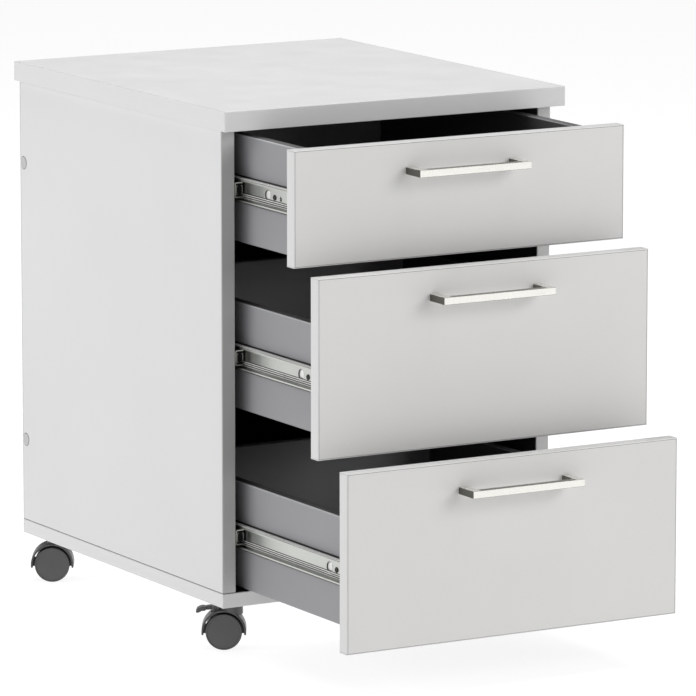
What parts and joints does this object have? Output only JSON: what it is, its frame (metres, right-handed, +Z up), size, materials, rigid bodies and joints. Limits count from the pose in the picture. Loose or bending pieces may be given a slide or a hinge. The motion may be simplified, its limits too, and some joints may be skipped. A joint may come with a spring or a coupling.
{
  "type": "rolling pedestal cabinet",
  "caption": "Mobile under-desk drawer pedestal on swivel castors, with ball-bearing drawer slides and bar handles, its drawers pulled out like steps.",
  "frame": {"origin": "on the floor, in the middle of the whole outline with the drawers pulled out as they stand", "axes": "+X to the cabinet's right as seen from the front, -Y the way the drawers open, +Z up"},
  "size_m": [0.427, 0.771, 0.6],
  "materials": {
    "white_board": "melamine-faced chipboard, light grey-white, fine pearl texture, satin",
    "front_board": "melamine-faced chipboard, light grey-white, satin",
    "grey_drawer_board": "foil-faced drawer board, mid grey, matt",
    "dark_drawer_bottom": "anthracite foil-faced bottom board, matt",
    "zinc_steel": "bright zinc-plated rolled steel",
    "black_plastic": "moulded black plastic",
    "brushed_nickel": "brushed nickel-coloured metal",
    "castor_plastic": "moulded dark grey nylon, satin",
    "wheel_plastic": "moulded dark grey nylon wheel, matt"
  },
  "bodies": {
    "carcass": {"top_panel": "white_board", "bottom_panel": "white_board", "left_side_panel": "white_board", "right_side_panel": "white_board", "back_panel": "white_board", "upper_left_cabinet_runner": "zinc_steel", "upper_right_cabinet_runner": "zinc_steel", "middle_left_cabinet_runner": "zinc_steel", "middle_right_cabinet_runner": "zinc_steel", "lower_left_cabinet_runner": "zinc_steel", "lower_right_cabinet_runner": "zinc_steel", "front_left_castor_plate": "zinc_steel", "front_right_castor_plate": "zinc_steel", "rear_left_castor_plate": "zinc_steel", "rear_right_castor_plate": "zinc_steel"},
    "upper_drawer": {"upper_drawer_front": "front_board", "upper_drawer_left_side": "grey_drawer_board", "upper_drawer_right_side": "grey_drawer_board", "upper_drawer_back": "grey_drawer_board", "upper_drawer_bottom": "dark_drawer_bottom", "upper_handle": "brushed_nickel", "upper_left_drawer_runner": "zinc_steel", "upper_right_drawer_runner": "zinc_steel"},
    "upper_left_cage": {"upper_left_ball_cage": "black_plastic"},
    "upper_right_cage": {"upper_right_ball_cage": "black_plastic"},
    "middle_drawer": {"middle_drawer_front": "front_board", "middle_drawer_left_side": "grey_drawer_board", "middle_drawer_right_side": "grey_drawer_board", "middle_drawer_back": "grey_drawer_board", "middle_drawer_bottom": "dark_drawer_bottom", "middle_handle": "brushed_nickel", "middle_left_drawer_runner": "zinc_steel", "middle_right_drawer_runner": "zinc_steel"},
    "middle_left_cage": {"middle_left_ball_cage": "black_plastic"},
    "middle_right_cage": {"middle_right_ball_cage": "black_plastic"},
    "lower_drawer": {"lower_drawer_front": "front_board", "lower_drawer_left_side": "grey_drawer_board", "lower_drawer_right_side": "grey_drawer_board", "lower_drawer_back": "grey_drawer_board", "lower_drawer_bottom": "dark_drawer_bottom", "lower_handle": "brushed_nickel", "lower_left_drawer_runner": "zinc_steel", "lower_right_drawer_runner": "zinc_steel"},
    "lower_left_cage": {"lower_left_ball_cage": "black_plastic"},
    "lower_right_cage": {"lower_right_ball_cage": "black_plastic"},
    "front_left_castor": {"front_left_castor_housing": "castor_plastic"},
    "front_left_castor_wheel_a": {"front_left_castor_wheel_a": "wheel_plastic"},
    "front_left_castor_wheel_b": {"front_left_castor_wheel_b": "wheel_plastic"},
    "front_left_castor_brake": {"front_left_castor_brake_lever": "castor_plastic"},
    "front_right_castor": {"front_right_castor_housing": "castor_plastic"},
    "front_right_castor_wheel_a": {"front_right_castor_wheel_a": "wheel_plastic"},
    "front_right_castor_wheel_b": {"front_right_castor_wheel_b": "wheel_plastic"},
    "front_right_castor_brake": {"front_right_castor_brake_lever": "castor_plastic"},
    "rear_left_castor": {"rear_left_castor_housing": "castor_plastic"},
    "rear_left_castor_wheel_a": {"rear_left_castor_wheel_a": "wheel_plastic"},
    "rear_left_castor_wheel_b": {"rear_left_castor_wheel_b": "wheel_plastic"},
    "rear_right_castor": {"rear_right_castor_housing": "castor_plastic"},
    "rear_right_castor_wheel_a": {"rear_right_castor_wheel_a": "wheel_plastic"},
    "rear_right_castor_wheel_b": {"rear_right_castor_wheel_b": "wheel_plastic"}
  },
  "joints": [
    {"name": "upper_drawer_slide", "type": "slide", "parent": "carcass", "child": "upper_drawer", "axis": [0, -1, 0], "range_m": [-0.1365, 0.1635]},
    {"name": "upper_left_cage_travel", "type": "slide", "parent": "carcass", "child": "upper_left_cage", "axis": [0, -1, 0], "range_m": [-0.06825, 0.08175]},
    {"name": "upper_right_cage_travel", "type": "slide", "parent": "carcass", "child": "upper_right_cage", "axis": [0, -1, 0], "range_m": [-0.06825, 0.08175]},
    {"name": "middle_drawer_slide", "type": "slide", "parent": "carcass", "child": "middle_drawer", "axis": [0, -1, 0], "range_m": [-0.187, 0.113]},
    {"name": "middle_left_cage_travel", "type": "slide", "parent": "carcass", "child": "middle_left_cage", "axis": [0, -1, 0], "range_m": [-0.0935, 0.0565]},
    {"name": "middle_right_cage_travel", "type": "slide", "parent": "carcass", "child": "middle_right_cage", "axis": [0, -1, 0], "range_m": [-0.0935, 0.0565]},
    {"name": "lower_drawer_slide", "type": "slide", "parent": "carcass", "child": "lower_drawer", "axis": [0, -1, 0], "range_m": [-0.2475, 0.0525]},
    {"name": "lower_left_cage_travel", "type": "slide", "parent": "carcass", "child": "lower_left_cage", "axis": [0, -1, 0], "range_m": [-0.12375, 0.02625]},
    {"name": "lower_right_cage_travel", "type": "slide", "parent": "carcass", "child": "lower_right_cage", "axis": [0, -1, 0], "range_m": [-0.12375, 0.02625]},
    {"name": "front_left_castor_swivel", "type": "hinge", "parent": "carcass", "child": "front_left_castor", "pos_m": [-0.1765, -0.0515, 0.052], "axis": [0, 0, 1], "continuous": true},
    {"name": "front_left_castor_wheel_a_spin", "type": "hinge", "parent": "front_left_castor", "child": "front_left_castor_wheel_a", "pos_m": [-0.18299, -0.04775, 0.02], "axis": [-0.5, -0.866, 0], "continuous": true},
    {"name": "front_left_castor_wheel_b_spin", "type": "hinge", "parent": "front_left_castor", "child": "front_left_castor_wheel_b", "pos_m": [-0.18299, -0.04775, 0.02], "axis": [-0.5, -0.866, 0], "continuous": true},
    {"name": "front_left_castor_brake_press", "type": "hinge", "parent": "front_left_castor", "child": "front_left_castor_brake", "pos_m": [-0.19079, -0.04325, 0.046], "axis": [-0.5, -0.866, 0], "range_deg": [0, 12]},
    {"name": "front_right_castor_swivel", "type": "hinge", "parent": "carcass", "child": "front_right_castor", "pos_m": [0.1765, -0.0515, 0.052], "axis": [0, 0, 1], "continuous": true},
    {"name": "front_right_castor_wheel_a_spin", "type": "hinge", "parent": "front_right_castor", "child": "front_right_castor_wheel_a", "pos_m": [0.17, -0.04775, 0.02], "axis": [-0.5, -0.866, 0], "continuous": true},
    {"name": "front_right_castor_wheel_b_spin", "type": "hinge", "parent": "front_right_castor", "child": "front_right_castor_wheel_b", "pos_m": [0.17, -0.04775, 0.02], "axis": [-0.5, -0.866, 0], "continuous": true},
    {"name": "front_right_castor_brake_press", "type": "hinge", "parent": "front_right_castor", "child": "front_right_castor_brake", "pos_m": [0.16221, -0.04325, 0.046], "axis": [-0.5, -0.866, 0], "range_deg": [0, 12]},
    {"name": "rear_left_castor_swivel", "type": "hinge", "parent": "carcass", "child": "rear_left_castor", "pos_m": [-0.1765, 0.3565, 0.052], "axis": [0, 0, 1], "continuous": true},
    {"name": "rear_left_castor_wheel_a_spin", "type": "hinge", "parent": "rear_left_castor", "child": "rear_left_castor_wheel_a", "pos_m": [-0.18299, 0.36025, 0.02], "axis": [-0.5, -0.866, 0], "continuous": true},
    {"name": "rear_left_castor_wheel_b_spin", "type": "hinge", "parent": "rear_left_castor", "child": "rear_left_castor_wheel_b", "pos_m": [-0.18299, 0.36025, 0.02], "axis": [-0.5, -0.866, 0], "continuous": true},
    {"name": "rear_right_castor_swivel", "type": "hinge", "parent": "carcass", "child": "rear_right_castor", "pos_m": [0.1765, 0.3565, 0.052], "axis": [0, 0, 1], "continuous": true},
    {"name": "rear_right_castor_wheel_a_spin", "type": "hinge", "parent": "rear_right_castor", "child": "rear_right_castor_wheel_a", "pos_m": [0.17, 0.36025, 0.02], "axis": [-0.5, -0.866, 0], "continuous": true},
    {"name": "rear_right_castor_wheel_b_spin", "type": "hinge", "parent": "rear_right_castor", "child": "rear_right_castor_wheel_b", "pos_m": [0.17, 0.36025, 0.02], "axis": [-0.5, -0.866, 0], "continuous": true}
  ],
  "couplings": [
    {"joint": "upper_left_cage_travel", "follows": "upper_drawer_slide", "ratio": 0.5},
    {"joint": "upper_right_cage_travel", "follows": "upper_drawer_slide", "ratio": 0.5},
    {"joint": "middle_left_cage_travel", "follows": "middle_drawer_slide", "ratio": 0.5},
    {"joint": "middle_right_cage_travel", "follows": "middle_drawer_slide", "ratio": 0.5},
    {"joint": "lower_left_cage_travel", "follows": "lower_drawer_slide", "ratio": 0.5},
    {"joint": "lower_right_cage_travel", "follows": "lower_drawer_slide", "ratio": 0.5}
  ]
}
